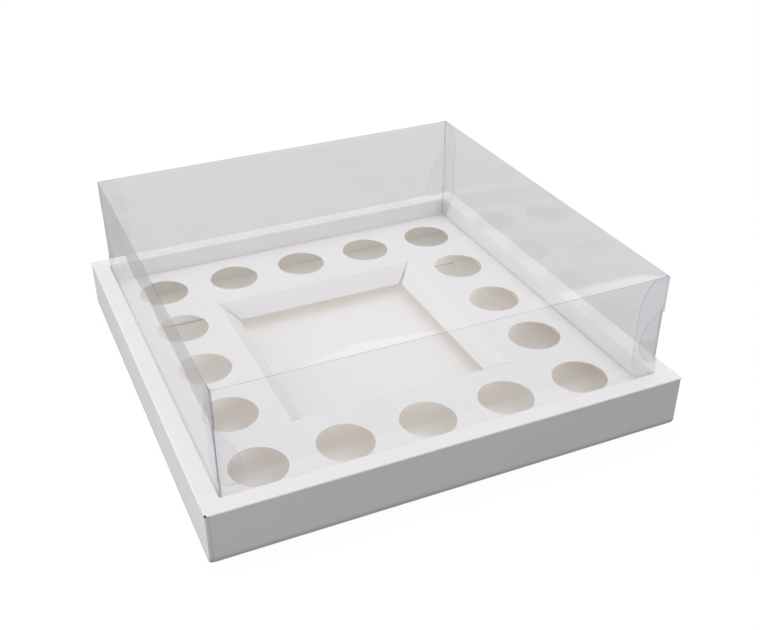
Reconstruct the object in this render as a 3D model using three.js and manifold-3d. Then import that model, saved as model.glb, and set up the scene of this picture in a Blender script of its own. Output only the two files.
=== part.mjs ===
// Bento cake box: a white board tray with hollow folded walls, a card insert with a ring of holes for
// small sweets round a square cake opening, and a clear folded film lid that stands in the tray.
// Millimetres, +Z up, +X to the right along the front, origin at the middle of the underside.

import * as THREE from 'three';
import { mergeVertices } from 'three/addons/utils/BufferGeometryUtils.js';
import Module from 'manifold-3d';

const wasm = await Module();
wasm.setup();

// Tray: one board blank, folded up, over and down again on each side
const TRAY_SIDE = 300;
const TRAY_HEIGHT = 33;
const RIM_WIDTH = 11.6;
const BOARD = 0.5;
const BOARD_FOLD = 0.35;
const BOARD_SEAM = 0.1;
const BOARD_LAYER_GAP = 0.1;
const END_FOOT = 50;
const SIDE_FOOT = 15;
const CORNER_TAB = 28;
const CORNER_STRIP = 2.5;

// Insert: one card blank with a leg on each side and four flaps bent down round the cake opening
const CARD = 0.4;
const CARD_FOLD = 0.3;
const CARD_CLEARANCE = 0.3;
const INSERT_DEPTH = 14;
const LEG_CORNER_GAP = 0.3;
const HOLE_DIAMETER = 35;
const HOLE_EDGE_MARGIN = 31;
const HOLES_PER_SIDE = 5;
const RING_WIDTH = 63;
const FLAP_LENGTH = 15;
const FLAP_CORNER_CUT = 13.5;
const FLAP_DROP_ANGLE = THREE.MathUtils.degToRad(43);
const FLAP_SLIT = 0.3;

// Lid: one film blank, each wall locked to the next by an inner flap and a tongue through a slit
const FILM = 0.35;
const FILM_FOLD = 0.3;
const FILM_GAP = 0.3;
const LID_CLEARANCE = 0.3;
const LID_RISE = 68.2;
const LOCK_FLAP_REACH = 17.5;
const LOCK_FLAP_CORNER_WIDTH = 12;
const LOCK_FLAP_CORNER_HEIGHT = 22.5;
const SLIT_TOP_DEPTH = 24.2;
const SLIT_HEIGHT = 33.5;
const TONGUE_REACH = 15.5;
const TONGUE_SHOULDER = 14;
const TONGUE_HOOK = 6;
const TONGUE_HOOK_MIDDLE = 8.5;

// Levels and half widths that follow from the sizes above
const FOLD_STEPS = 4;
const HOLE_STEPS = 24;
const OVERRUN = 1;
const trayHalf = TRAY_SIDE / 2;
const wellHalf = trayHalf - RIM_WIDTH;
const rimMiddle = TRAY_HEIGHT - BOARD / 2;
const boardFoldReach = BOARD_FOLD + BOARD;
const sideFootMiddle = BOARD + BOARD_LAYER_GAP + BOARD / 2;
const endFootMiddle = sideFootMiddle + BOARD + BOARD_LAYER_GAP;
const feetTop = endFootMiddle + BOARD / 2;
const insertHalf = wellHalf - CARD_CLEARANCE;
const insertTop = TRAY_HEIGHT - INSERT_DEPTH;
const insertMiddle = insertTop - CARD / 2;
const openingHalf = insertHalf - RING_WIDTH;
const holeReach = insertHalf - HOLE_EDGE_MARGIN;
const cardFoldReach = CARD_FOLD + CARD;
const lidHalf = wellHalf - LID_CLEARANCE;
const lidTop = TRAY_HEIGHT + LID_RISE;
const lidBottom = insertTop + LID_CLEARANCE;
const filmFoldReach = FILM_FOLD + FILM;
const filmStep = FILM + FILM_GAP;
const slitTop = lidTop - SLIT_TOP_DEPTH;
const slitBottom = slitTop - SLIT_HEIGHT;
const neckStart = lidHalf - filmStep - filmFoldReach;

// Gives a closed geometry as a solid that can be joined and cut.
function solidOf(geometry) {
  geometry.deleteAttribute('normal');
  geometry.deleteAttribute('uv');
  const merged = mergeVertices(geometry, 1e-5);
  return new wasm.Manifold(new wasm.Mesh({
    numProp: 3,
    vertProperties: new Float32Array(merged.attributes.position.array),
    triVerts: new Uint32Array(merged.index.array),
  }));
}

// Gives a solid back as a geometry with flat normals.
function geometryOf(solid) {
  const mesh = solid.getMesh();
  const geometry = new THREE.BufferGeometry();
  geometry.setAttribute('position', new THREE.BufferAttribute(mesh.vertProperties, 3));
  geometry.setIndex(new THREE.BufferAttribute(mesh.triVerts, 1));
  geometry.computeVertexNormals();
  return geometry;
}

function join(solids) {
  return solids.reduce((whole, piece) => whole.add(piece));
}

function cut(solid, cutters) {
  return cutters.reduce((rest, cutter) => rest.subtract(cutter), solid);
}

// Sides are numbered by quarter turns: 0 is the right side, 1 the back, 2 the left and 3 the front.
// Every side is drawn as the right side, with x outward, y along it and z up, and then turned.
const SIDES = [0, 1, 2, 3];

function turned(geometry, side) {
  return geometry.rotateZ(side * Math.PI / 2);
}

// Extrudes an outline in x and z along the side, from one y to another.
function alongSide(outline, from, to, side) {
  const geometry = new THREE.ExtrudeGeometry(outline, { depth: to - from, bevelEnabled: false });
  geometry.translate(0, 0, -to);
  geometry.rotateX(Math.PI / 2);
  return solidOf(turned(geometry, side));
}

// Extrudes an outline in x and y upward, from one level to another.
function upward(outline, from, to, side = 0) {
  const geometry = new THREE.ExtrudeGeometry(outline, { depth: to - from, bevelEnabled: false });
  geometry.translate(0, 0, from);
  return solidOf(turned(geometry, side));
}

function block([x0, x1], [y0, y1], [z0, z1], side = 0) {
  const geometry = new THREE.BoxGeometry(x1 - x0, y1 - y0, z1 - z0);
  geometry.translate((x0 + x1) / 2, (y0 + y1) / 2, (z0 + z1) / 2);
  return solidOf(turned(geometry, side));
}

// Draws the section of a sheet whose middle follows the corner points, with a round fold at each.
function foldedSheet(corners, thickness, insideRadius) {
  const path = corners.map(([x, y]) => new THREE.Vector2(x, y));
  const radius = insideRadius + thickness / 2;
  const oneFace = [];
  const otherFace = [];
  const leftOf = (heading) => new THREE.Vector2(-heading.y, heading.x);
  const lay = (point, heading) => {
    const across = leftOf(heading).multiplyScalar(thickness / 2);
    oneFace.push(point.clone().add(across));
    otherFace.unshift(point.clone().sub(across));
  };
  const headings = path.slice(1).map((point, i) => point.clone().sub(path[i]).normalize());
  lay(path[0], headings[0]);
  for (let i = 1; i < path.length - 1; i += 1) {
    const before = headings[i - 1];
    const turn = Math.atan2(before.cross(headings[i]), before.dot(headings[i]));
    const bend = Math.sign(turn) * radius;
    const start = path[i].clone().addScaledVector(before, -radius * Math.tan(Math.abs(turn) / 2));
    const centre = start.clone().addScaledVector(leftOf(before), bend);
    for (let step = 0; step <= FOLD_STEPS; step += 1) {
      const heading = before.clone().rotateAround(new THREE.Vector2(), turn * step / FOLD_STEPS);
      lay(centre.clone().addScaledVector(leftOf(heading), -bend), heading);
    }
  }
  lay(path[path.length - 1], headings[headings.length - 1]);
  return new THREE.Shape([...oneFace, ...otherFace]);
}

// The wall of the front or back: up, over the rim, down inside and in along the floor as a wide foot.
// Its rim runs the full width. The outer wall stops short of the corners, where the tabs show.
function endWall(side) {
  const outer = trayHalf - BOARD / 2;
  const inner = wellHalf + BOARD / 2;
  const outline = foldedSheet([
    [trayHalf - 2 * boardFoldReach, BOARD / 2],
    [outer, BOARD / 2],
    [outer, rimMiddle],
    [inner, rimMiddle],
    [inner, endFootMiddle],
    [wellHalf - END_FOOT, endFootMiddle],
  ], BOARD, BOARD_FOLD);
  const wall = alongSide(outline, -trayHalf, trayHalf, side);
  const past = trayHalf + OVERRUN;
  const betweenWalls = (outer + inner) / 2;
  const outerEnd = trayHalf - CORNER_STRIP;
  const innerEnd = trayHalf - BOARD - BOARD_SEAM;
  const footEnd = wellHalf - BOARD_SEAM;
  const underRim = TRAY_HEIGHT - BOARD - BOARD_LAYER_GAP;
  const trims = [-1, 1].flatMap((end) => {
    const beyond = (from) => (end > 0 ? [from, past] : [-past, -from]);
    return [
      block([betweenWalls, past], beyond(outerEnd), [-OVERRUN, TRAY_HEIGHT - BOARD], side),
      block([0, betweenWalls], beyond(innerEnd), [-OVERRUN, underRim], side),
      block([0, betweenWalls], beyond(footEnd), [BOARD, feetTop + boardFoldReach], side),
    ];
  });
  return cut(wall, trims);
}

// The wall of the left or right side. Its rim and inner wall butt against the end walls, and its
// outer wall runs on into a tab behind each end wall.
function sideWall(side) {
  const outer = trayHalf - BOARD / 2;
  const inner = wellHalf + BOARD / 2;
  const waist = TRAY_HEIGHT / 2;
  const channel = foldedSheet([
    [outer, waist],
    [outer, rimMiddle],
    [inner, rimMiddle],
    [inner, sideFootMiddle],
    [wellHalf - SIDE_FOOT, sideFootMiddle],
  ], BOARD, BOARD_FOLD);
  const hem = foldedSheet([
    [trayHalf - 2 * boardFoldReach, BOARD / 2],
    [outer, BOARD / 2],
    [outer, waist],
  ], BOARD, BOARD_FOLD);
  const tabOuter = trayHalf - BOARD - BOARD_LAYER_GAP;
  const tabMiddle = tabOuter - BOARD / 2;
  const wallWithTabs = foldedSheet([
    [trayHalf - CORNER_TAB, -tabMiddle],
    [outer, -tabMiddle],
    [outer, tabMiddle],
    [trayHalf - CORNER_TAB, tabMiddle],
  ], BOARD, BOARD_FOLD);
  const buttEnd = wellHalf - BOARD_SEAM;
  const tabBottom = boardFoldReach + BOARD_SEAM;
  const tabTop = TRAY_HEIGHT - BOARD - BOARD_LAYER_GAP - BOARD_LAYER_GAP;
  const hemEnd = trayHalf - CORNER_STRIP;
  return join([
    alongSide(channel, -buttEnd, buttEnd, side),
    alongSide(hem, -hemEnd, hemEnd, side),
    upward(wallWithTabs, tabBottom, tabTop, side),
  ]);
}

// The floor: the square where the cake's board stands, clear of the flaps above, and the rest round it.
function trayFloor() {
  const floorHalf = trayHalf - boardFoldReach;
  const standHalf = openingHalf - FLAP_LENGTH;
  const floorSpan = [-floorHalf, floorHalf];
  const standSpan = [-standHalf, standHalf];
  const stand = block(standSpan, standSpan, [0, BOARD]);
  const rest = cut(block(floorSpan, floorSpan, [0, BOARD]), [stand]);
  return join([rest, stand]);
}

function baseTray() {
  return join([trayFloor(), endWall(1), endWall(3), sideWall(0), sideWall(2)]);
}

// The holes along one side of the ring, without its last corner, which belongs to the next side.
function sweetHoles(side) {
  const circle = new THREE.Shape().absarc(0, 0, HOLE_DIAMETER / 2, 0, 2 * Math.PI);
  const depth = CARD + 2 * OVERRUN;
  const pitch = 2 * holeReach / (HOLES_PER_SIDE - 1);
  return Array.from({ length: HOLES_PER_SIDE - 1 }, (_, i) => {
    const hole = new THREE.ExtrudeGeometry(circle, {
      depth,
      bevelEnabled: false,
      curveSegments: HOLE_STEPS,
    });
    hole.translate(holeReach, i * pitch - holeReach, insertTop - CARD - OVERRUN);
    return solidOf(turned(hole, side));
  });
}

// One flap of the cake opening, hanging down at a slant, with its ends cut back at the corners.
function openingFlap(side) {
  const crease = openingHalf;
  const tip = crease - FLAP_LENGTH * Math.cos(FLAP_DROP_ANGLE);
  const root = crease + 2 * cardFoldReach;
  const past = root + OVERRUN;
  const outline = foldedSheet([
    [root, insertMiddle],
    [crease, insertMiddle],
    [tip, insertMiddle - FLAP_LENGTH * Math.sin(FLAP_DROP_ANGLE)],
  ], CARD, CARD_FOLD);
  const halfAtCrease = crease - FLAP_SLIT;
  const halfAtTip = crease - FLAP_CORNER_CUT;
  const plan = new THREE.Shape([
    [tip - CARD, -halfAtTip],
    [crease, -halfAtCrease],
    [past, -halfAtCrease],
    [past, halfAtCrease],
    [crease, halfAtCrease],
    [tip - CARD, halfAtTip],
  ].map(([x, y]) => new THREE.Vector2(x, y)));
  return alongSide(outline, -crease, crease, side).intersect(upward(plan, 0, TRAY_HEIGHT, side));
}

function insertLeg(side) {
  const face = insertHalf - CARD / 2;
  const outline = foldedSheet([
    [insertHalf - 2 * cardFoldReach, insertMiddle],
    [face, insertMiddle],
    [face, feetTop + CARD_CLEARANCE],
  ], CARD, CARD_FOLD);
  const end = insertHalf - cardFoldReach - LEG_CORNER_GAP;
  return alongSide(outline, -end, end, side);
}

function cakeInsert() {
  const panelHalf = insertHalf - cardFoldReach;
  const panelSpan = [-panelHalf, panelHalf];
  const openingSpan = [-openingHalf - cardFoldReach, openingHalf + cardFoldReach];
  const panel = block(panelSpan, panelSpan, [insertTop - CARD, insertTop]);
  const opening = block(openingSpan, openingSpan, [0, TRAY_HEIGHT]);
  const ring = cut(panel, [opening, ...SIDES.flatMap(sweetHoles)]);
  return join([ring, ...SIDES.map(insertLeg), ...SIDES.map(openingFlap)]);
}

// A lid wall with its inner lock flap: the wall ends flush with the next wall's outer face, and the
// flap turns inside the wall before it, with a rounded upper corner.
function lidWall(side) {
  const face = lidHalf - FILM / 2;
  const flapFace = lidHalf - filmStep - FILM / 2;
  const strip = foldedSheet([
    [face, lidHalf],
    [face, -flapFace],
    [lidHalf - LOCK_FLAP_REACH, -flapFace],
  ], FILM, FILM_FOLD);
  const flapTop = lidTop - filmStep;
  const past = lidHalf + OVERRUN;
  const tip = lidHalf - LOCK_FLAP_REACH;
  const cornerX = tip + LOCK_FLAP_CORNER_WIDTH;
  const cornerZ = flapTop - LOCK_FLAP_CORNER_HEIGHT;
  const corner = new THREE.Shape();
  corner.moveTo(tip - OVERRUN, cornerZ);
  corner.lineTo(tip, cornerZ);
  corner.absellipse(
    cornerX, cornerZ, LOCK_FLAP_CORNER_WIDTH, LOCK_FLAP_CORNER_HEIGHT, Math.PI, Math.PI / 2, true,
  );
  corner.lineTo(cornerX, flapTop + OVERRUN);
  corner.lineTo(tip - OVERRUN, flapTop + OVERRUN);
  const slit = [slitBottom, slitTop];
  const flapSlot = block([lidHalf - 2 * filmStep, past], [-past, -neckStart], slit, side);
  const neckRoom = block([0, past], [neckStart, past], slit, side);
  const flapCorner = alongSide(corner, -lidHalf, -(flapFace - FILM), side);
  return cut(upward(strip, lidBottom, flapTop, side), [flapCorner, flapSlot, neckRoom]);
}

// The tongue at the wall's other end, folded round the corner through the next wall's slit, with a
// long sloping upper edge and a hook below.
function lidTongue(side) {
  const face = lidHalf - FILM / 2;
  const turnFace = lidHalf - filmStep - FILM / 2;
  const crease = lidHalf - filmStep;
  const tip = lidHalf - TONGUE_REACH;
  const past = lidHalf + OVERRUN;
  const strip = foldedSheet([
    [face, neckStart - filmFoldReach],
    [face, turnFace],
    [tip - OVERRUN, turnFace],
  ], FILM, FILM_FOLD);
  const neckTop = slitTop - FILM_GAP;
  const neckBottom = slitBottom + FILM_GAP;
  const hookBottom = slitBottom - TONGUE_HOOK;
  const clearOfFlap = crease - filmStep - FILM_GAP;
  const outline = new THREE.Shape();
  outline.moveTo(past, neckBottom);
  outline.lineTo(clearOfFlap, neckBottom);
  outline.quadraticCurveTo(clearOfFlap, hookBottom, lidHalf - TONGUE_HOOK_MIDDLE, hookBottom);
  outline.quadraticCurveTo(tip, hookBottom, tip, neckBottom);
  outline.quadraticCurveTo(tip, neckBottom + TONGUE_SHOULDER, crease, neckTop);
  outline.lineTo(past, neckTop);
  const tongue = upward(strip, hookBottom, neckTop, side);
  return tongue.intersect(alongSide(outline, 0, past, side));
}

function lidRoof(side) {
  const face = lidHalf - FILM / 2;
  const roofMiddle = lidTop - FILM / 2;
  const outline = foldedSheet([
    [lidHalf - 3 * filmFoldReach, roofMiddle],
    [face, roofMiddle],
    [face, lidTop - 3 * filmFoldReach],
  ], FILM, FILM_FOLD);
  return alongSide(outline, -neckStart, lidHalf - filmFoldReach, side);
}

function clearLid() {
  const roofHalf = lidHalf - filmFoldReach;
  const roof = block([-roofHalf, roofHalf], [-roofHalf, roofHalf], [lidTop - FILM, lidTop]);
  return join([roof, ...SIDES.map(lidRoof), ...SIDES.map(lidWall), ...SIDES.map(lidTongue)]);
}

const board = new THREE.MeshStandardMaterial({ color: '#eceae7', roughness: 0.75, metalness: 0 });
const card = new THREE.MeshStandardMaterial({ color: '#efeeeb', roughness: 0.7, metalness: 0 });
const film = new THREE.MeshStandardMaterial({
  color: '#dfe3ec',
  roughness: 0.08,
  metalness: 0,
  transparent: true,
  opacity: 0.3,
});

function piece(name, solid, material) {
  const mesh = new THREE.Mesh(geometryOf(solid), material);
  mesh.name = name;
  return mesh;
}

const cakeBox = new THREE.Group();
cakeBox.add(
  piece('base_tray', baseTray(), board),
  piece('cake_insert', cakeInsert(), card),
  piece('clear_lid', clearLid(), film),
);

export default cakeBox;
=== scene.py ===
"""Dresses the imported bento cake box: board tray, card insert and clear film lid, with its stage and camera.

Lengths are in metres, in the box's own frame: +X runs right along the front wall, +Y to the back, +Z up.
"""

import math

import bmesh
import bpy
import numpy as np
from bpy.props import FloatProperty, FloatVectorProperty, PointerProperty
from mathutils import Matrix, Vector


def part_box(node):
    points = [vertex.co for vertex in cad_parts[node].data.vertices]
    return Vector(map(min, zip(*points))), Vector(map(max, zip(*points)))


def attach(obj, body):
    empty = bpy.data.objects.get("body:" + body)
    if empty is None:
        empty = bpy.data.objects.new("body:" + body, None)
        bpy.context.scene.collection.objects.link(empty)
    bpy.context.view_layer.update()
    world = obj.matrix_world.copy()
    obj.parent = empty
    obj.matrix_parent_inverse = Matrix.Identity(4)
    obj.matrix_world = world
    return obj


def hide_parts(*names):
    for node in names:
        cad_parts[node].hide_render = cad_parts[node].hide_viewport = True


bl_info = {
    "name": "Bento cake box",
    "version": (1, 0, 0),
    "blender": (4, 5, 0),
    "location": "View3D > Sidebar > Cake box",
    "description": "Finishes a folded board tray, a card insert and a clear film lid",
    "category": "Object",
}

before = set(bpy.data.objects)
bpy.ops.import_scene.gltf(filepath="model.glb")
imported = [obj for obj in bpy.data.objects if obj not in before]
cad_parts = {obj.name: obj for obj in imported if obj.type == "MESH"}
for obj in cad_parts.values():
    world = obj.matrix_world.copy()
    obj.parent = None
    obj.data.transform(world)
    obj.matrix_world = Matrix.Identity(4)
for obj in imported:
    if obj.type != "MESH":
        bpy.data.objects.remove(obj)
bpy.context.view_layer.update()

TRAY_LOW, TRAY_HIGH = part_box("base_tray")
INSERT_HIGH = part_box("cake_insert")[1]
LID_LOW, LID_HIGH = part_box("clear_lid")
MM = 0.001

# The tray's rim and its butt seams, and the insert's ring, from the outer edge inwards
RIM_WIDTH = 11.6 * MM
SEAM_INSET = 11.75 * MM
SEAM_REACH = 0.3 * MM
SEAM_DEPTH = 1 * MM
INNER_FACE_INSET = 11.3 * MM
RING_WIDTH = 63 * MM

# The raw end of a front or back wall: its middle from the outer face, half its width and the wall's thickness
RAW_END_INSET = 1.6 * MM
RAW_END_REACH = 1.5 * MM
RAW_END_DEPTH = 0.55 * MM
# How strongly the painted shade shows along the back rim's butt seams
SEAM_SHADE_SHARE = 0.35
# Radius of the pinhole's painted shade
PINHOLE_RADIUS = 1.5 * MM

# How far a face's normal may lean, as the normal's part along an axis
UPRIGHT_LEAN = 0.3
SIDEWAYS_LEAN = 0.7
SEAM_LEAN = 0.4

# Shades of the coated and the raw paper in its cloud's and fibre's low and high places
COATED_SHADES = (0.975, 1.02)
RAW_SHADES = (0.8, 1.15)
FILM_EDGE_SHADES = (0.85, 1.15)

# Steps of the film's folds and curved edges, and how strongly the painted fold shade shows at the eave
GRID_STEP = 4 * MM
FOLD_STEPS = 6
FLAP_CURVE_STEPS = 14
TONGUE_CURVE_STEPS = 8
EAVE_FOLD_SHADE_SHARE = 0.6

# The film's bow: where a wall's bow fades out to its corners, the roof's depth, and its sag, eaves and waves
BOW_FADE_START = 0.85
BOW_FADE_WIDTH = 0.13
ROOF_DEPTH = 2 * MM
ROOF_SAG = 2.2
EAVE_WIDTH = 16 * MM
EAVE_SAG = 1.6
WAVE_SHARE = 0.25
WAVE_TURNS = (4.1, 3.3)
WAVE_STARTS = (0.7, -0.4)

# Lamps, and the part of the world to the right and up that reflections show brighter
OVERHEAD_PLACE = (0.5, 0.4, 1.4)
OVERHEAD_AIM = (0, 0, 0)
OVERHEAD_SIZE = 1.2
SIDE_PLACE = (-1.0, -0.2, 0.27)
SIDE_AIM = (0, 0, 0.03)
SIDE_SIZE = 0.5
SOFTBOX_RIGHT = (0.48, 0.56)
SOFTBOX_HIGH = (0.51, 0.55)
FLOOR_REACH = 6.0


# Settings

def length(name, description, default):
    """A length setting in metres."""
    return FloatProperty(name=name, description=description, default=default, min=0,
                         subtype="DISTANCE", unit="LENGTH", precision=5)


def tint(name, description, default):
    """A colour setting."""
    return FloatVectorProperty(name=name, description=description, default=default, size=3,
                               subtype="COLOR", min=0, max=1)


def turn(name, description, default):
    """An angle setting in radians."""
    return FloatProperty(name=name, description=description, default=default,
                         subtype="ANGLE", unit="ROTATION")


def share(name, description, default, most=1.0):
    """A plain number from 0 to the most that makes sense."""
    return FloatProperty(name=name, description=description, default=default, min=0, max=most)


class CakeBoxStageSettings(bpy.types.PropertyGroup):
    """Camera, floor and light."""

    camera_place: FloatVectorProperty(
        name="Camera place", description="Where the camera stands",
        default=(-0.22892, -0.53674, 0.38993), size=3, subtype="TRANSLATION", unit="LENGTH")
    camera_yaw: turn("Yaw", "Turn to the right of straight at the front wall", 0.3898)
    camera_pitch: turn("Pitch", "Tilt down from level", 0.5496)
    camera_roll: turn("Roll", "Turn about the line of sight", -0.0199)
    focal_length: FloatProperty(
        name="Focal length", description="Of a 36 mm wide sensor, in millimetres",
        default=48.022, min=10, max=200)
    shift_right: share("Shift", "Sideways lens shift, as a share of the frame's width", 0.046)
    floor_glow: share("Floor glow", "How far the floor shows as white by itself", 0.91)
    floor_seen: share("Floor seen", "Shade of the floor as it is seen, which carries the shadow", 0.11)
    floor_grey: share("Floor grey", "How much light the floor sends back to the box", 0.04)
    through_film: share("Backdrop through film", "How bright floor and backdrop are behind film", 0.69)
    backdrop_mirrored: share("Backdrop mirrored", "How bright the backdrop is in reflections", 1.1, 2.0)
    floor_mirrored: share("Floor mirrored", "How bright the floor is in reflections", 0.48)
    ambient: share("Ambient", "Strength of the light from all round", 0.74, 2.0)
    softbox_mirrored: share("Softbox mirrored", "How bright the high right side is in reflections", 3.0, 10.0)
    seen_colour: tint("Behind film", "Colour of floor and backdrop behind film", (0.975, 0.98, 1.0))
    cool_colour: tint("Cool ambient", "Colour of the light from the front", (0.94, 0.93, 0.975))
    warm_colour: tint("Warm ambient", "Colour of the light from the back", (1.0, 0.99, 0.96))
    lamp_colour: tint("Lamp colour", "Colour of both lamps", (1.0, 0.985, 0.96))
    overhead_power: FloatProperty(
        name="Overhead lamp", description="Large lamp above", default=5.0, min=0, unit="POWER")
    side_power: FloatProperty(
        name="Side lamp", description="Lamp on the left", default=3.4, min=0, unit="POWER")


class CakeBoxPaperSettings(bpy.types.PropertyGroup):
    """Board of the tray and card of the insert."""

    board_colour: tint("Board", "Coated face of the tray's board", (0.885, 0.883, 0.885))
    # Painted light: the inside of the tray is painted lighter than the same board outside
    inner_painted_light_colour: tint("Inner board", "Coated face of the board inside the tray", (0.94, 0.935, 0.93))
    # Painted shade: the foot of the outer walls is painted darker, as the contact shade where the board bends
    # under onto the floor
    foot_shade_colour: tint("Foot", "Foot of the outer walls, where the board bends under", (0.55, 0.545, 0.54))
    foot_shade_height: length("Foot height", "How high the darker foot fades out", 4.5 * MM)
    card_colour: tint("Card", "Coated face of the insert's card", (0.895, 0.893, 0.892))
    # The raw core's real colour at the cut ends; at a lower share it is also painted shade along the back
    # rim's seams
    raw_board_colour: tint("Board's cut edge", "Raw core at the board's cut edge", (0.36, 0.29, 0.22))
    raw_card_colour: tint("Card's back", "Uncoated back of the card", (0.92, 0.86, 0.79))
    # Painted shade: the pinhole is painted nearly black for the shade inside it
    hole_shade_colour: tint("Corner hole", "Colour inside the pinhole where three folds meet", (0.05, 0.035, 0.025))
    # Painted light: the front seams glow by emission to hide the shade in their gap
    seam_painted_light: share("Seam glow", "How bright the closed seams at the front are, to match the rim", 0.3)
    roughness: share("Roughness", "Roughness of the coated face", 0.5)
    lamps_through_board: share("Lamps through board", "Share of the lamps' light that passes a face", 0.85)
    lamps_through_card: share("Lamps through card", "Share of the lamps' light that passes a face", 0.6)
    bounce_through_board: share("Bounces through board", "Share of bounced light that passes a face", 0.15)
    bounce_through_card: share("Bounces through card", "Share of bounced light that passes a face", 0.5)
    through_colour: tint("Light through", "Colour of the light that passes the sheet", (1.0, 0.96, 0.91))


class CakeBoxFilmSettings(bpy.types.PropertyGroup):
    """Film of the lid."""

    film_colour: tint("Film", "Tint of one face of the film", (0.955, 0.955, 0.962))
    grazing_colour: tint("Low angle", "Tint of one face of the film, seen nearly edge on", (0.87, 0.87, 0.89))
    # Painted shade: dark violet along folds stands for the bent film's dark reflections
    fold_shade_colour: tint("Fold", "Tint of the film along a fold", (0.30, 0.29, 0.46))
    edge_colour: tint("Cut edge", "Colour of the film's cut edge", (0.42, 0.41, 0.58))
    film: length("Film", "Thickness of the film", 0.35 * MM)
    fold: length("Fold", "Inside radius of a fold", 0.3 * MM)
    gap: length("Gap", "Room between layers of film", 0.3 * MM)
    flap_reach: length("Flap reach", "How far a lock flap reaches from the corner", 17.5 * MM)
    flap_corner_width: length("Flap corner width", "Width of the flap's rounded corner", 12 * MM)
    flap_corner_height: length("Flap corner height", "Height of the flap's rounded corner", 22.5 * MM)
    slit_depth: length("Slit depth", "From the roof down to the slit", 24.2 * MM)
    slit_height: length("Slit height", "Height of the slit", 33.5 * MM)
    tongue_reach: length("Tongue reach", "How far a tongue reaches from the corner", 15.5 * MM)
    tongue_shoulder: length("Tongue shoulder", "Height of the tongue's bend over its tip", 14 * MM)
    tongue_hook: length("Tongue hook", "How far the tongue hooks below the slit", 6 * MM)
    hook_middle: length("Hook middle", "Lowest point of the hook, from the corner", 8.5 * MM)
    flap_taper: length("Flap taper", "How far a lock flap narrows towards its foot", 12 * MM)
    bow: length("Bow", "How far the film bows between its folds", 0.45 * MM)


# Shader parts

def node(tree, kind, at=(0, 0), **inputs):
    """Adds one node, with values for its sockets by name."""
    made = tree.nodes.new(kind)
    made.location = at
    for name, value in inputs.items():
        made.inputs[name.replace("_", " ")].default_value = value
    return made


def maths(tree, operation, first, second=None):
    """Adds a Math node. A number is set on its socket, and a socket is linked to it."""
    made = tree.nodes.new("ShaderNodeMath")
    made.operation = operation
    for socket, value in zip(made.inputs, (first, second)):
        if isinstance(value, (int, float)):
            socket.default_value = value
        elif value is not None:
            tree.links.new(value, socket)
    return made.outputs[0]


def blended(tree, factor, low, high):
    """Adds a colour Mix node between two colours or colour sockets."""
    made = tree.nodes.new("ShaderNodeMix")
    made.data_type = "RGBA"
    tree.links.new(factor, made.inputs[0])
    for socket, value in ((made.inputs[6], low), (made.inputs[7], high)):
        if isinstance(value, bpy.types.NodeSocket):
            tree.links.new(value, socket)
        else:
            socket.default_value = (*value, 1)
    return made.outputs[2]


def paper_fibre_group():
    """Coated paper: a faint cloudy shade and a fine fibre height, from a place."""
    known = bpy.data.node_groups.get("paper_fibre")
    if known:
        return known
    group = bpy.data.node_groups.new("paper_fibre", "ShaderNodeTree")
    face = group.interface
    face.new_socket(name="Vector", in_out="INPUT", socket_type="NodeSocketVector")
    for name, default in (("Cloud size", 25.0), ("Fibre size", 900.0), ("Fibre share", 0.5)):
        face.new_socket(name=name, in_out="INPUT", socket_type="NodeSocketFloat").default_value = default
    face.new_socket(name="Shade", in_out="OUTPUT", socket_type="NodeSocketFloat")
    face.new_socket(name="Height", in_out="OUTPUT", socket_type="NodeSocketFloat")
    inside = node(group, "NodeGroupInput", (-900, 0))
    outside = node(group, "NodeGroupOutput", (500, 0))
    cloud = node(group, "ShaderNodeTexNoise", (-600, 200), Detail=3.0, Roughness=0.5)
    fibre = node(group, "ShaderNodeTexNoise", (-600, -150), Detail=4.0, Roughness=0.7)
    for texture, size in ((cloud, "Cloud size"), (fibre, "Fibre size")):
        group.links.new(inside.outputs["Vector"], texture.inputs["Vector"])
        group.links.new(inside.outputs[size], texture.inputs["Scale"])
    group.links.new(cloud.outputs["Fac"], outside.inputs["Shade"])
    mix = node(group, "ShaderNodeMix", (0, 0))
    group.links.new(inside.outputs["Fibre share"], mix.inputs["Factor"])
    group.links.new(cloud.outputs["Fac"], mix.inputs["A"])
    group.links.new(fibre.outputs["Fac"], mix.inputs["B"])
    group.links.new(mix.outputs["Result"], outside.inputs["Height"])
    return group


def fresh_material(name):
    """An empty material with its output, and the Principled shader that feeds it."""
    made = bpy.data.materials.new(name)
    made.use_nodes = True
    tree = made.node_tree
    tree.nodes.clear()
    out = node(tree, "ShaderNodeOutputMaterial", (900, 0))
    shader = node(tree, "ShaderNodeBsdfPrincipled", (500, 0))
    tree.links.new(shader.outputs["BSDF"], out.inputs["Surface"])
    return made, tree, shader, out


def split(tree, socket):
    """X, Y and Z of a vector socket."""
    parts = node(tree, "ShaderNodeSeparateXYZ")
    tree.links.new(socket, parts.inputs[0])
    return list(parts.outputs)


def raw_card_mask(tree, where):
    """The card's back: faces that look down, and upright faces that look in to the middle."""
    place, facing = where.outputs["Object"], where.outputs["Normal"]
    inward = tree.nodes.new("ShaderNodeVectorMath")
    inward.operation = "DOT_PRODUCT"
    flat = node(tree, "ShaderNodeVectorMath")
    flat.operation = "MULTIPLY"
    flat.inputs[1].default_value = (1, 1, 0)
    tree.links.new(place, flat.inputs[0])
    tree.links.new(flat.outputs[0], inward.inputs[0])
    tree.links.new(facing, inward.inputs[1])
    tilt = split(tree, facing)[2]
    down = maths(tree, "LESS_THAN", tilt, -UPRIGHT_LEAN)
    upright = maths(tree, "LESS_THAN", maths(tree, "ABSOLUTE", tilt), UPRIGHT_LEAN)
    inner = maths(tree, "LESS_THAN", inward.outputs["Value"], 0.0)
    return maths(tree, "MAXIMUM", down, maths(tree, "MULTIPLY", upright, inner))


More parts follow.
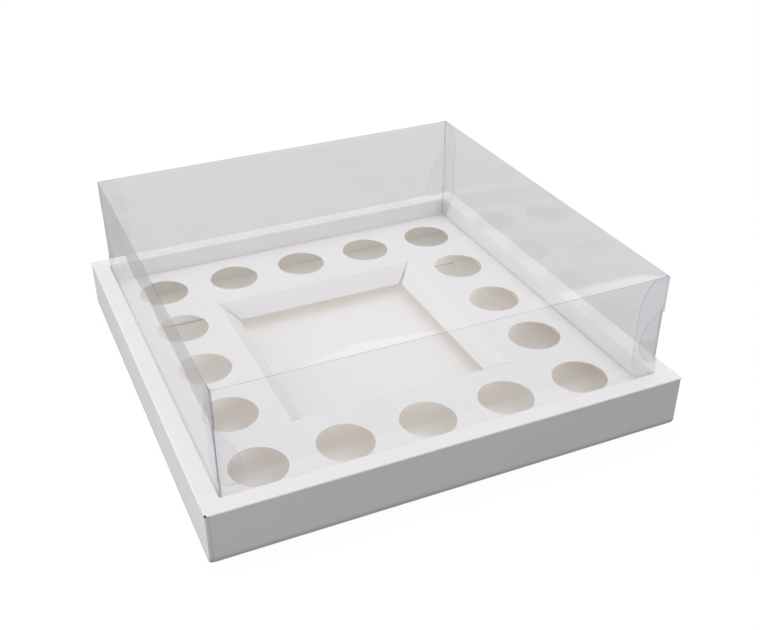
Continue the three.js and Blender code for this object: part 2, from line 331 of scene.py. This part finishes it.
def near(tree, value, middle, reach):
    """1 where a value is nearer to the middle than the reach, else 0."""
    made = tree.nodes.new("ShaderNodeMath")
    made.operation = "COMPARE"
    tree.links.new(value, made.inputs[0])
    made.inputs[1].default_value = middle
    made.inputs[2].default_value = reach
    return made.outputs[0]


def times(tree, *masks):
    """The product of several masks."""
    made = masks[0]
    for mask in masks[1:]:
        made = maths(tree, "MULTIPLY", made, mask)
    return made


def widest(tree, where):
    """How far a place is from the middle, by the larger of its x and y."""
    x, y, _ = split(tree, where.outputs["Object"])
    return maths(tree, "MAXIMUM", maths(tree, "ABSOLUTE", x), maths(tree, "ABSOLUTE", y))


def rim_seam_mask(tree, x, y, z, seam_y):
    """A strip of the rim along the butt seams at one y."""
    return times(tree, near(tree, y, seam_y, SEAM_REACH),
                 maths(tree, "GREATER_THAN", maths(tree, "ABSOLUTE", x), TRAY_HIGH.x - RIM_WIDTH),
                 maths(tree, "GREATER_THAN", z, TRAY_HIGH.z - SEAM_DEPTH))


def raw_end_and_seam_shade_mask(tree, where):
    """The raw cut ends of the front and back walls at the corners, and fainter a painted shade line in the
    raw board's colour along the butt seams of the back rim."""
    x, y, z = split(tree, where.outputs["Object"])
    across = maths(tree, "ABSOLUTE", split(tree, where.outputs["Normal"])[0])
    end = times(tree, near(tree, maths(tree, "ABSOLUTE", x), TRAY_HIGH.x - RAW_END_INSET, RAW_END_REACH),
                maths(tree, "GREATER_THAN", across, SIDEWAYS_LEAN),
                near(tree, maths(tree, "ABSOLUTE", y), TRAY_HIGH.y, RAW_END_DEPTH))
    seam = rim_seam_mask(tree, x, y, z, TRAY_HIGH.y - SEAM_INSET)
    return maths(tree, "MAXIMUM", end, maths(tree, "MULTIPLY", seam, SEAM_SHADE_SHARE))


def closed_seam_mask(tree, where):
    """The sides of the front rim's butt seams, where the board closes up and painted light glows to hide the
    shade in the gap.
    """
    x, y, z = split(tree, where.outputs["Object"])
    upward = split(tree, where.outputs["Normal"])[2]
    return times(tree, rim_seam_mask(tree, x, y, z, TRAY_LOW.y + SEAM_INSET),
                 maths(tree, "LESS_THAN", upward, SEAM_LEAN))


def corner_hole_mask(tree, where):
    """The pinhole at the top of the front left corner, where three folds meet, painted nearly black as the
    shade inside it.
    """
    away = tree.nodes.new("ShaderNodeVectorMath")
    away.operation = "DISTANCE"
    tree.links.new(where.outputs["Object"], away.inputs[0])
    away.inputs[1].default_value = (TRAY_LOW.x, TRAY_LOW.y, TRAY_HIGH.z)
    return maths(tree, "LESS_THAN", away.outputs["Value"], PINHOLE_RADIUS)


def inside_mask(tree, where):
    """The inner faces of the tray's walls and its floor, which are painted lighter than the outer board as
    painted light.
    """
    return maths(tree, "LESS_THAN", widest(tree, where), TRAY_HIGH.x - INNER_FACE_INSET)


def flap_mask(tree, where):
    """The insert's flaps, which hang inside the cake opening."""
    return maths(tree, "LESS_THAN", widest(tree, where), INSERT_HIGH.x - RING_WIDTH)


def tray_painted_light(tree, where, shader, raw_and_painted_light, settings):
    """The tray's painted light and shade: a painted shade that darkens the foot, lighter painted inner faces,
    the pinhole painted nearly black as its shade, and painted light that glows on the closed seams.
    """
    height = split(tree, where.outputs["Object"])[2]
    # Painted shade darkens the foot of the outer walls
    raw_and_painted_light = blended(tree, ramp(tree, height, 0.0, settings.foot_shade_height), settings.foot_shade_colour, raw_and_painted_light)
    # Painted light: the inner faces are painted lighter
    raw_and_painted_light = blended(tree, inside_mask(tree, where), raw_and_painted_light, settings.inner_painted_light_colour)
    # Painted shade: the pinhole is painted nearly black
    raw_and_painted_light = blended(tree, corner_hole_mask(tree, where), raw_and_painted_light, settings.hole_shade_colour)
    # Painted light: the closed seams glow by emission in the board's colour
    shader.inputs["Emission Color"].default_value = (*settings.board_colour, 1)
    glow = maths(tree, "MULTIPLY", closed_seam_mask(tree, where), settings.seam_painted_light)
    tree.links.new(glow, shader.inputs["Emission Strength"])
    return raw_and_painted_light


def shaded(colour, shades):
    """The colour in its low and high places, by their shades, and no lighter than 1."""
    return [[min(part * shade, 1) for part in colour] for shade in shades]


def paper_finish(name, colour, raw, settings, raw_and_shade_mask, through, painted_light_details=None, open_mask=None):
    """Coated paper: the colour with a faint cloud, the raw colour where the mask says, which for the tray
    includes a painted seam shade, any painted light and shade that the details add, fibre in the bump, and
    some light through it: the lamps' share and the bounces' share, and all the lamps' light where open."""
    made, tree, shader, out = fresh_material(name)
    where = node(tree, "ShaderNodeTexCoord", (-900, 0))
    fibre = node(tree, "ShaderNodeGroup", (-600, 0))
    fibre.node_tree = paper_fibre_group()
    tree.links.new(where.outputs["Object"], fibre.inputs["Vector"])
    coated = blended(tree, fibre.outputs["Shade"], *shaded(colour, COATED_SHADES))
    bare = blended(tree, fibre.outputs["Height"], *shaded(raw, RAW_SHADES))
    raw_and_painted_light = blended(tree, raw_and_shade_mask(tree, where), coated, bare)
    if painted_light_details:
        raw_and_painted_light = painted_light_details(tree, where, shader, raw_and_painted_light, settings)
    tree.links.new(raw_and_painted_light, shader.inputs["Base Color"])
    relief = node(tree, "ShaderNodeBump", (200, -200), Strength=0.25, Distance=0.6 * MM)
    tree.links.new(fibre.outputs["Height"], relief.inputs["Height"])
    tree.links.new(relief.outputs["Normal"], shader.inputs["Normal"])
    shader.inputs["Roughness"].default_value = settings.roughness
    shader.inputs["Specular IOR Level"].default_value = 0.35
    lamps, bounces = through
    if open_mask:
        lamps = maths(tree, "MAXIMUM", open_mask(tree, where), lamps)
    lamps_shine_through(tree, shader, out, settings.through_colour, lamps, bounces)
    return made


def lamps_shine_through(tree, shader, out, colour, lamps=1.0, bounces=1.0):
    """Light that falls on the piece goes straight through it, tinted, by a share for light straight from the
    lamps and one for bounced light, while eyes and mirrors see the shader."""
    path = node(tree, "ShaderNodeLightPath", (200, 500))
    clear = node(tree, "ShaderNodeBsdfTransparent", (500, 300), Color=(*colour, 1))
    straight = maths(tree, "MULTIPLY", path.outputs["Is Shadow Ray"], lamps)
    bounced = maths(tree, "MULTIPLY", path.outputs["Is Diffuse Ray"], bounces)
    mix = node(tree, "ShaderNodeMixShader", (720, 100))
    tree.links.new(maths(tree, "MAXIMUM", straight, bounced), mix.inputs["Fac"])
    tree.links.new(shader.outputs["BSDF"], mix.inputs[1])
    tree.links.new(clear.outputs["BSDF"], mix.inputs[2])
    tree.links.new(mix.outputs["Shader"], out.inputs["Surface"])


def film_finish(settings):
    """Clear film: passes light straight, mirrors it as gloss film does, and is painted dark violet along
    folds as painted shade for the bent film's dark reflections.
    """
    made, tree, shader, out = fresh_material("clear_film")
    where = node(tree, "ShaderNodeTexCoord", (-900, 0))
    wave = node(tree, "ShaderNodeTexNoise", (-600, -300), Scale=14.0, Detail=1.0, Roughness=0.4)
    tree.links.new(where.outputs["Object"], wave.inputs["Vector"])
    relief = node(tree, "ShaderNodeBump", (200, -300), Strength=0.3, Distance=2 * MM)
    tree.links.new(wave.outputs["Fac"], relief.inputs["Height"])
    tree.links.new(relief.outputs["Normal"], shader.inputs["Coat Normal"])
    fold = node(tree, "ShaderNodeAttribute", (-600, 200))
    fold.attribute_name = "fold"
    slant = node(tree, "ShaderNodeLayerWeight", (-600, 400), Blend=0.5)
    low_angle = maths(tree, "POWER", slant.outputs["Facing"], 3.0)
    clear = blended(tree, low_angle, settings.film_colour, settings.grazing_colour)
    # Painted shade: dark violet along the folds
    tinted = blended(tree, fold.outputs["Fac"], clear, settings.fold_shade_colour)
    tree.links.new(tinted, shader.inputs["Base Color"])
    shader.inputs["Roughness"].default_value = 0.0
    shader.inputs["IOR"].default_value = 1.0
    shader.inputs["Transmission Weight"].default_value = 1.0
    shader.inputs["Coat Weight"].default_value = 1.0
    shader.inputs["Coat Roughness"].default_value = 0.03
    shader.inputs["Coat IOR"].default_value = 1.45
    lamps_shine_through(tree, shader, out, (0.985, 0.985, 0.99))
    return made


def film_edge_finish(settings):
    """The film's cut edge: a violet line that light still enters."""
    made, tree, shader, out = fresh_material("film_edge")
    where = node(tree, "ShaderNodeTexCoord", (-900, 0))
    grain = node(tree, "ShaderNodeTexNoise", (-600, 0), Scale=120.0, Detail=2.0)
    tree.links.new(where.outputs["Object"], grain.inputs["Vector"])
    tinted = blended(tree, grain.outputs["Fac"], *shaded(settings.edge_colour, FILM_EDGE_SHADES))
    tree.links.new(tinted, shader.inputs["Base Color"])
    shader.inputs["Roughness"].default_value = 0.3
    shader.inputs["IOR"].default_value = 1.3
    shader.inputs["Transmission Weight"].default_value = 0.6
    lamps_shine_through(tree, shader, out, (0.9, 0.9, 0.93))
    return made


def wear(piece, *finishes):
    """Gives a piece its materials."""
    piece.data.materials.clear()
    for made in finishes:
        piece.data.materials.append(made)


# Surfaces

def piece_of_grids(name, grids):
    """One mesh from several grids of points: four neighbours make a quad, and points that meet are joined.

    A grid is (points of rows x columns x 3, fold marks of rows x columns).
    """
    points = np.concatenate([grid.reshape(-1, 3) for grid, _ in grids])
    marks = np.concatenate([mark.reshape(-1) for _, mark in grids]).astype(np.float32)
    starts = np.cumsum([0] + [mark.size for _, mark in grids])
    quads = []
    for start, (grid, mark) in zip(starts, grids):
        index = start + np.arange(mark.size).reshape(mark.shape)
        ring = [index[:-1, :-1], index[:-1, 1:], index[1:, 1:], index[1:, :-1]]
        quads.append(np.stack(ring, -1).reshape(-1, 4))
    mesh = bpy.data.meshes.new(name)
    mesh.from_pydata(points.tolist(), [], np.concatenate(quads).tolist())
    mesh.attributes.new("fold", "FLOAT", "POINT").data.foreach_set("value", marks)
    work = bmesh.new()
    work.from_mesh(mesh)
    bmesh.ops.remove_doubles(work, verts=work.verts, dist=0.003 * MM)
    bmesh.ops.dissolve_degenerate(work, edges=work.edges, dist=0.002 * MM)
    bmesh.ops.recalc_face_normals(work, faces=work.faces)
    work.to_mesh(mesh)
    work.free()
    mesh.shade_smooth()
    piece = bpy.data.objects.new(name, mesh)
    bpy.context.scene.collection.objects.link(piece)
    return piece


def arc(centre, radius, start, end, steps):
    """Points on a circle between two angles, and marks that rise to 1 in the middle of the bend."""
    part = np.linspace(0, 1, steps + 1)
    angle = start + (end - start) * part
    line = np.stack([centre[0] + radius * np.cos(angle), centre[1] + radius * np.sin(angle)], -1)
    return line, np.sin(np.pi * part)


def spaced(*stops, most):
    """Numbers from the first stop to the last through every stop, in even steps no longer than the most."""
    parts = [np.linspace(a, b, max(int(math.ceil(abs(b - a) / most - 1e-6)), 1) + 1)[:-1]
             for a, b in zip(stops[:-1], stops[1:])]
    return np.concatenate([*parts, [stops[-1]]])


def swept(line, line_mark, levels):
    """Grid over a plan line (x, y) and levels (z): every line point at every level."""
    rows = np.broadcast_to(line[None, :, :], (len(levels), len(line), 2))
    height = np.broadcast_to(np.asarray(levels)[:, None, None], (len(levels), len(line), 1))
    mark = np.broadcast_to(line_mark[None, :], (len(levels), len(line)))
    return np.concatenate([rows, height], -1), mark.copy()


def between(line, bottom, top, rows):
    """Grid over a plan line (x, y) whose bottom and top levels change along it.

    z = bottom + share * (top - bottom), with the share even from 0 to 1 over the rows.
    """
    part = np.linspace(0, 1, rows + 1)[:, None]
    height = bottom[None, :] + part * (top - bottom)[None, :]
    flat = np.broadcast_to(line[None, :, :], (rows + 1, len(line), 2))
    return np.concatenate([flat, height[..., None]], -1), np.zeros((rows + 1, len(line)))


def quarter_turned(grid, mark, side):
    """A grid drawn for the right side, turned to side 0 right, 1 back, 2 left or 3 front."""
    cosine, sine = ((1, 0), (0, 1), (-1, 0), (0, -1))[side]
    x, y = grid[..., 0], grid[..., 1]
    return np.stack([x * cosine - y * sine, x * sine + y * cosine, grid[..., 2]], -1), mark


def lid_side(s):
    """The grids of one side of the lid, drawn as the right side with x outward, y along it and z up.

    The wall is a plan line along y, swept up. At its low y end it bends round the corner into the lock flap,
    whose upper corner is an ellipse. At its high y end its middle band bends into the tongue, whose edges
    are three quadratic curves. Both bends are broken at the slit. The eave bends from wall to roof.
    """
    half, top, low = LID_HIGH.x, LID_HIGH.z, LID_LOW.z
    bend = s.fold + s.film / 2
    face = half - s.film / 2
    layer = half - s.film - s.gap - s.film / 2
    wall_top = top - s.film / 2 - bend
    neck = layer - bend
    slit_top = top - s.slit_depth
    slit_low = slit_top - s.slit_height
    neck_low, neck_top = slit_low + s.gap, slit_top - s.gap
    step = GRID_STEP
    along = spaced(-neck, neck, most=step)
    past = spaced(neck, half, most=step)
    low_levels = spaced(low, TRAY_HIGH.z, slit_low, most=step)
    middle_levels = spaced(slit_low, neck_low, neck_top, slit_top, most=step)
    high_levels = spaced(slit_top, wall_top, most=step)
    wall_line = np.stack([np.full_like(along, face), along], -1)
    end_line = np.stack([np.full_like(past, face), past], -1)
    plain = np.zeros(len(along))
    grids = [swept(wall_line, plain, levels) for levels in (low_levels, middle_levels, high_levels)]
    grids += [swept(end_line, np.zeros(len(past)), levels) for levels in (low_levels, high_levels)]

    corner, corner_mark = arc((face - bend, -neck), bend, 0, -math.pi / 2, FOLD_STEPS)
    grids += [swept(corner, corner_mark, levels) for levels in (low_levels, high_levels)]
    tip = half - s.flap_reach
    round_start = tip + s.flap_corner_width
    slot_end = half - 2 * (s.film + s.gap)
    beside_slot = spaced(face - bend, slot_end, most=step)
    far = spaced(slot_end, round_start, most=step)
    curve = round_start - s.flap_corner_width * np.sin(np.linspace(0, math.pi / 2, FLAP_CURVE_STEPS + 1))
    flap = np.concatenate([far, curve[1:]])
    ellipse = np.sqrt(np.clip(1 - (np.clip(round_start - flap, 0, None) / s.flap_corner_width) ** 2, 0, 1))
    flap_top = wall_top - s.flap_corner_height * (1 - ellipse)
    slot_line, flap_line = [np.stack([xs, np.full_like(xs, -layer)], -1) for xs in (beside_slot, flap)]
    grids += [swept(slot_line, np.zeros(len(beside_slot)), levels) for levels in (low_levels, high_levels)]
    grids.append(swept(flap_line, np.zeros(len(flap)), middle_levels))
    foot, mark = swept(flap_line, np.zeros(len(flap)), low_levels)
    down = (slit_low - low_levels)[:, None] / (slit_low - low)
    foot[..., 0] += s.flap_taper * down * ((slot_end - flap) / (slot_end - tip))[None, :]
    grids.append((foot, mark))
    grids.append(between(flap_line, np.full_like(flap, slit_top), flap_top, len(high_levels) - 1))

    neck_levels = middle_levels[1:-1]
    turn_line, turn_mark = arc((face - bend, neck), bend, 0, math.pi / 2, FOLD_STEPS)
    grids.append(swept(turn_line, turn_mark, neck_levels))
    crease, clear = face - bend, face - bend - s.film - 2 * s.gap
    tongue_tip = half - s.tongue_reach
    hook_x, hook_z = half - s.hook_middle, slit_low - s.tongue_hook
    t = np.linspace(0, 1, TONGUE_CURVE_STEPS + 1)
    tongue = np.concatenate([[crease], clear - (clear - hook_x) * t ** 2,
                             (tongue_tip + (hook_x - tongue_tip) * (1 - t) ** 2)[1:]])
    rise = np.sqrt(np.clip((tongue - tongue_tip) / (crease - tongue_tip), 0, 1))
    tongue_top = ((1 - rise) ** 2 * neck_low + 2 * rise * (1 - rise) * (neck_low + s.tongue_shoulder)
                  + rise ** 2 * neck_top)
    inner = np.sqrt(np.clip((clear - tongue) / (clear - hook_x), 0, 1))
    outer = 1 - np.sqrt(np.clip((tongue - tongue_tip) / (hook_x - tongue_tip), 0, 1))
    tongue_low = np.where(tongue >= hook_x, hook_z + (neck_low - hook_z) * (1 - inner) ** 2,
                          hook_z + (neck_low - hook_z) * outer ** 2)
    tongue_line = np.stack([tongue, np.full_like(tongue, layer)], -1)
    grids.append(between(tongue_line, tongue_low, tongue_top, len(neck_levels) - 1))

    eave, eave_mark = arc((face - bend, wall_top), bend, 0, math.pi / 2, FOLD_STEPS)
    eave = np.concatenate([eave, [[neck, wall_top + bend]]])
    eave_mark = EAVE_FOLD_SHADE_SHARE * np.append(eave_mark, 0.0)
    columns = np.broadcast_to(along[None, :], (len(eave), len(along)))
    grid = np.stack([np.broadcast_to(eave[:, :1], columns.shape), columns,
                     np.broadcast_to(eave[:, 1:], columns.shape)], -1)
    grids.append((grid, np.broadcast_to(eave_mark[:, None], columns.shape).copy()))
    return grids, along, wall_top + bend


def lid_bow(points, bow):
    """How film bows between its folds: walls in and roof down by a sine over their width and height, with
    slow waves on the roof, which also falls off to its eaves by a square. Walls bow less near a corner, by
    a smooth step. Nothing moves below the tray's rim."""
    x, y, z = points.T
    half, top, rim = LID_HIGH.x, LID_HIGH.z, TRAY_HIGH.z
    place = np.stack([x, y])
    away = np.abs(place)
    lift = np.sin(np.pi * np.clip((z - rim) / (top - rim), 0, 1))
    across = np.cos(np.pi * np.clip(place / (2 * half), -0.5, 0.5))
    on_wall = np.clip((away / half - BOW_FADE_START) / BOW_FADE_WIDTH, 0, 1)
    on_wall = on_wall * on_wall * (3 - 2 * on_wall)
    out_x, out_y = -np.sign(place) * bow * lift * across[::-1] * on_wall
    near_eave = np.clip((away - (half - EAVE_WIDTH)) / EAVE_WIDTH, 0, 1)
    roof = np.clip((z - (top - ROOF_DEPTH)) / ROOF_DEPTH, 0, 1) ** 2
    waves = [np.sin(line / half * turns + start)
             for line, turns, start in zip(place, WAVE_TURNS, WAVE_STARTS)]
    middle = ROOF_SAG * across[0] * across[1] * (1 + WAVE_SHARE * waves[0] * waves[1])
    sag = -roof * bow * (middle + EAVE_SAG * np.max(near_eave, axis=0) ** 2)
    return np.stack([out_x, out_y, sag], -1)


def film_lid(settings):
    """The lid as one folded film: four sides and the roof plane, bowed, with the film's thickness."""
    grids = []
    for side in range(4):
        made, along, roof_level = lid_side(settings)
        grids += [quarter_turned(grid, mark, side) for grid, mark in made]
    across, up = np.meshgrid(along, along)
    grids.append((np.stack([across, up, np.full_like(across, roof_level)], -1), np.zeros(across.shape)))
    grids = [(grid + lid_bow(grid.reshape(-1, 3), settings.bow).reshape(grid.shape), mark)
             for grid, mark in grids]
    lid = piece_of_grids("film_lid", grids)
    solid = lid.modifiers.new("film", "SOLIDIFY")
    solid.thickness = settings.film
    solid.offset = 0
    solid.use_even_offset = True
    solid.use_rim = True
    solid.material_offset_rim = 1
    return lid


# Stage

def camera_turn(yaw, pitch, roll):
    """Camera axes as columns: sideways, up and backwards, from turn, tilt and roll."""
    ahead = np.array([math.sin(yaw) * math.cos(pitch), math.cos(yaw) * math.cos(pitch), -math.sin(pitch)])
    level = np.array([math.cos(yaw), -math.sin(yaw), 0.0])
    upright = np.cross(level, ahead)
    side = level * math.cos(roll) + upright * math.sin(roll)
    top = -level * math.sin(roll) + upright * math.cos(roll)
    return Matrix([[side[i], top[i], -ahead[i]] for i in range(3)]).to_4x4()


def make_camera(settings):
    """Stands the camera in front, a little to the left and above."""
    lens = bpy.data.cameras.new("camera")
    lens.sensor_width = 36.0
    lens.lens = settings.focal_length
    lens.shift_x = settings.shift_right
    lens.clip_start, lens.clip_end = 0.01, 50.0
    stand = bpy.data.objects.new("camera", lens)
    aim = camera_turn(settings.camera_yaw, settings.camera_pitch, settings.camera_roll)
    stand.matrix_world = Matrix.Translation(Vector(settings.camera_place)) @ aim
    bpy.context.scene.collection.objects.link(stand)
    bpy.context.scene.camera = stand


def ramp(tree, value, low, high):
    """0 up to the low value, 1 from the high value, and smooth between them."""
    made = tree.nodes.new("ShaderNodeMapRange")
    made.interpolation_type = "SMOOTHSTEP"
    tree.links.new(value, made.inputs["Value"])
    made.inputs["From Min"].default_value = low
    made.inputs["From Max"].default_value = high
    return made.outputs["Result"]


def seen_strength(tree, path, seen, mirrored, through, other):
    """One strength for each kind of ray: seen directly, seen in a mirror, seen through film, and as light."""
    camera, glossy, passed = [path.outputs[name] for name in
                              ("Is Camera Ray", "Is Glossy Ray", "Is Transmission Ray")]
    only_glossy = maths(tree, "MULTIPLY", glossy, maths(tree, "SUBTRACT", 1.0, passed))
    total = maths(tree, "MULTIPLY", camera, seen)
    total = maths(tree, "ADD", total, maths(tree, "MULTIPLY", only_glossy, mirrored))
    total = maths(tree, "ADD", total, maths(tree, "MULTIPLY", passed, through))
    known = maths(tree, "MINIMUM", maths(tree, "ADD", maths(tree, "ADD", camera, glossy), passed), 1.0)
    rest = maths(tree, "MULTIPLY", maths(tree, "SUBTRACT", 1.0, known), other)
    return maths(tree, "ADD", total, rest)


def make_world(settings):
    """White where it is seen, pale grey through the film, and an even soft light for the rest."""
    world = bpy.data.worlds.new("soft_room")
    world.use_nodes = True
    tree = world.node_tree
    tree.nodes.clear()
    out = node(tree, "ShaderNodeOutputWorld", (600, 0))
    glow = node(tree, "ShaderNodeBackground", (300, 0))
    path = node(tree, "ShaderNodeLightPath", (-600, 0))
    where = node(tree, "ShaderNodeTexCoord", (-900, 300))
    right, back, high = split(tree, where.outputs["Generated"])
    to_back = maths(tree, "ADD", maths(tree, "MULTIPLY", back, 0.5), 0.5)
    ambient = blended(tree, to_back, settings.cool_colour, settings.warm_colour)
    behind = blended(tree, path.outputs["Is Transmission Ray"], ambient, settings.seen_colour)
    tree.links.new(blended(tree, path.outputs["Is Camera Ray"], behind, (1, 1, 1)), glow.inputs["Color"])
    softbox = maths(tree, "MULTIPLY", ramp(tree, right, *SOFTBOX_RIGHT), ramp(tree, high, *SOFTBOX_HIGH))
    extra = maths(tree, "MULTIPLY", softbox, settings.softbox_mirrored - settings.backdrop_mirrored)
    mirrored = maths(tree, "ADD", extra, settings.backdrop_mirrored)
    strength = seen_strength(tree, path, 1.0, mirrored, settings.through_film, settings.ambient)
    tree.links.new(strength, glow.inputs["Strength"])
    tree.links.new(glow.outputs["Background"], out.inputs["Surface"])
    bpy.context.scene.world = world


def make_floor(settings):
    """A pale floor that shows as white, keeps a faint shadow and sends some light back to the box."""
    mesh = bpy.data.meshes.new("floor")
    corners = [(x * FLOOR_REACH, y * FLOOR_REACH, 0) for x, y in ((-1, -1), (1, -1), (1, 1), (-1, 1))]
    mesh.from_pydata(corners, [], [(0, 1, 2, 3)])
    floor = bpy.data.objects.new("floor", mesh)
    bpy.context.scene.collection.objects.link(floor)
    made = bpy.data.materials.new("floor")
    made.use_nodes = True
    tree = made.node_tree
    tree.nodes.clear()
    out = node(tree, "ShaderNodeOutputMaterial", (700, 0))
    matt = node(tree, "ShaderNodeBsdfDiffuse", (200, 150))
    glow = node(tree, "ShaderNodeEmission", (200, -100))
    path = node(tree, "ShaderNodeLightPath", (-600, 0))
    tree.links.new(blended(tree, path.outputs["Is Transmission Ray"], (1, 1, 1), settings.seen_colour),
                   glow.inputs["Color"])
    seen, grey = settings.floor_seen, settings.floor_grey
    shade = seen_strength(tree, path, seen, seen, seen, grey)
    tree.links.new(blended(tree, shade, (0, 0, 0), (1, 1, 1)), matt.inputs["Color"])
    strength = seen_strength(tree, path, settings.floor_glow, settings.floor_mirrored - seen,
                             settings.through_film - seen, 0.0)
    tree.links.new(strength, glow.inputs["Strength"])
    both = node(tree, "ShaderNodeAddShader", (450, 0))
    tree.links.new(matt.outputs["BSDF"], both.inputs[0])
    tree.links.new(glow.outputs["Emission"], both.inputs[1])
    tree.links.new(both.outputs["Shader"], out.inputs["Surface"])
    wear(floor, made)


def make_lamp(name, place, aim, side, power, colour):
    """A square soft lamp that looks at a point."""
    lamp = bpy.data.lights.new(name, "AREA")
    lamp.shape = "SQUARE"
    lamp.size = side
    lamp.energy = power
    lamp.color = colour
    stand = bpy.data.objects.new(name, lamp)
    look = (Vector(aim) - Vector(place)).to_track_quat("-Z", "Y").to_matrix().to_4x4()
    stand.matrix_world = Matrix.Translation(Vector(place)) @ look
    stand.visible_camera = False
    stand.visible_glossy = False
    bpy.context.scene.collection.objects.link(stand)


class CAKEBOX_OT_stage(bpy.types.Operator):
    """Make the floor, the light and the camera"""

    bl_idname = "cakebox.stage"
    bl_label = "Stage"

    def execute(self, context):
        settings = context.scene.cakebox_stage
        context.scene.view_settings.view_transform = "Standard"
        make_camera(settings)
        make_world(settings)
        make_floor(settings)
        make_lamp("overhead_lamp", OVERHEAD_PLACE, OVERHEAD_AIM, OVERHEAD_SIZE,
                  settings.overhead_power, settings.lamp_colour)
        make_lamp("side_lamp", SIDE_PLACE, SIDE_AIM, SIDE_SIZE, settings.side_power, settings.lamp_colour)
        return {"FINISHED"}


# Pieces

class CAKEBOX_OT_tray(bpy.types.Operator):
    """Finish the folded board tray"""

    bl_idname = "cakebox.tray"
    bl_label = "Board tray"

    def execute(self, context):
        s = context.scene.cakebox_paper
        wear(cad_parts["base_tray"],
             paper_finish("white_board", s.board_colour, s.raw_board_colour, s, raw_end_and_seam_shade_mask,
                          (s.lamps_through_board, s.bounce_through_board), painted_light_details=tray_painted_light))
        return {"FINISHED"}


class CAKEBOX_OT_insert(bpy.types.Operator):
    """Finish the card insert"""

    bl_idname = "cakebox.insert"
    bl_label = "Card insert"

    def execute(self, context):
        s = context.scene.cakebox_paper
        wear(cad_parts["cake_insert"],
             paper_finish("white_card", s.card_colour, s.raw_card_colour, s, raw_card_mask,
                          (s.lamps_through_card, s.bounce_through_card), open_mask=flap_mask))
        return {"FINISHED"}


class CAKEBOX_OT_lid(bpy.types.Operator):
    """Make the folded film lid in place of the plain one"""

    bl_idname = "cakebox.lid"
    bl_label = "Film lid"

    def execute(self, context):
        settings = context.scene.cakebox_film
        lid = film_lid(settings)
        wear(lid, film_finish(settings), film_edge_finish(settings))
        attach(lid, "lid")
        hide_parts("clear_lid")
        return {"FINISHED"}


class CAKEBOX_PT_panel(bpy.types.Panel):
    """Cake box pieces and settings"""

    bl_label = "Cake box"
    bl_idname = "CAKEBOX_PT_panel"
    bl_space_type = "VIEW_3D"
    bl_region_type = "UI"
    bl_category = "Cake box"

    def draw(self, context):
        for operator in (CAKEBOX_OT_stage, CAKEBOX_OT_tray, CAKEBOX_OT_insert, CAKEBOX_OT_lid):
            self.layout.operator(operator.bl_idname)
        for group in (context.scene.cakebox_stage, context.scene.cakebox_paper, context.scene.cakebox_film):
            for name in group.bl_rna.properties.keys():
                if name not in ("rna_type", "name"):
                    self.layout.prop(group, name)


CLASSES = (CakeBoxStageSettings, CakeBoxPaperSettings, CakeBoxFilmSettings,
           CAKEBOX_OT_stage, CAKEBOX_OT_tray, CAKEBOX_OT_insert, CAKEBOX_OT_lid, CAKEBOX_PT_panel)


def register():
    for kind in CLASSES:
        bpy.utils.register_class(kind)
    bpy.types.Scene.cakebox_stage = PointerProperty(type=CakeBoxStageSettings)
    bpy.types.Scene.cakebox_paper = PointerProperty(type=CakeBoxPaperSettings)
    bpy.types.Scene.cakebox_film = PointerProperty(type=CakeBoxFilmSettings)


def unregister():
    del bpy.types.Scene.cakebox_film
    del bpy.types.Scene.cakebox_paper
    del bpy.types.Scene.cakebox_stage
    for kind in reversed(CLASSES):
        bpy.utils.unregister_class(kind)


def main():
    register()
    bpy.ops.cakebox.stage()
    bpy.ops.cakebox.tray()
    bpy.ops.cakebox.insert()
    bpy.ops.cakebox.lid()


if __name__ == "__main__":
    main()
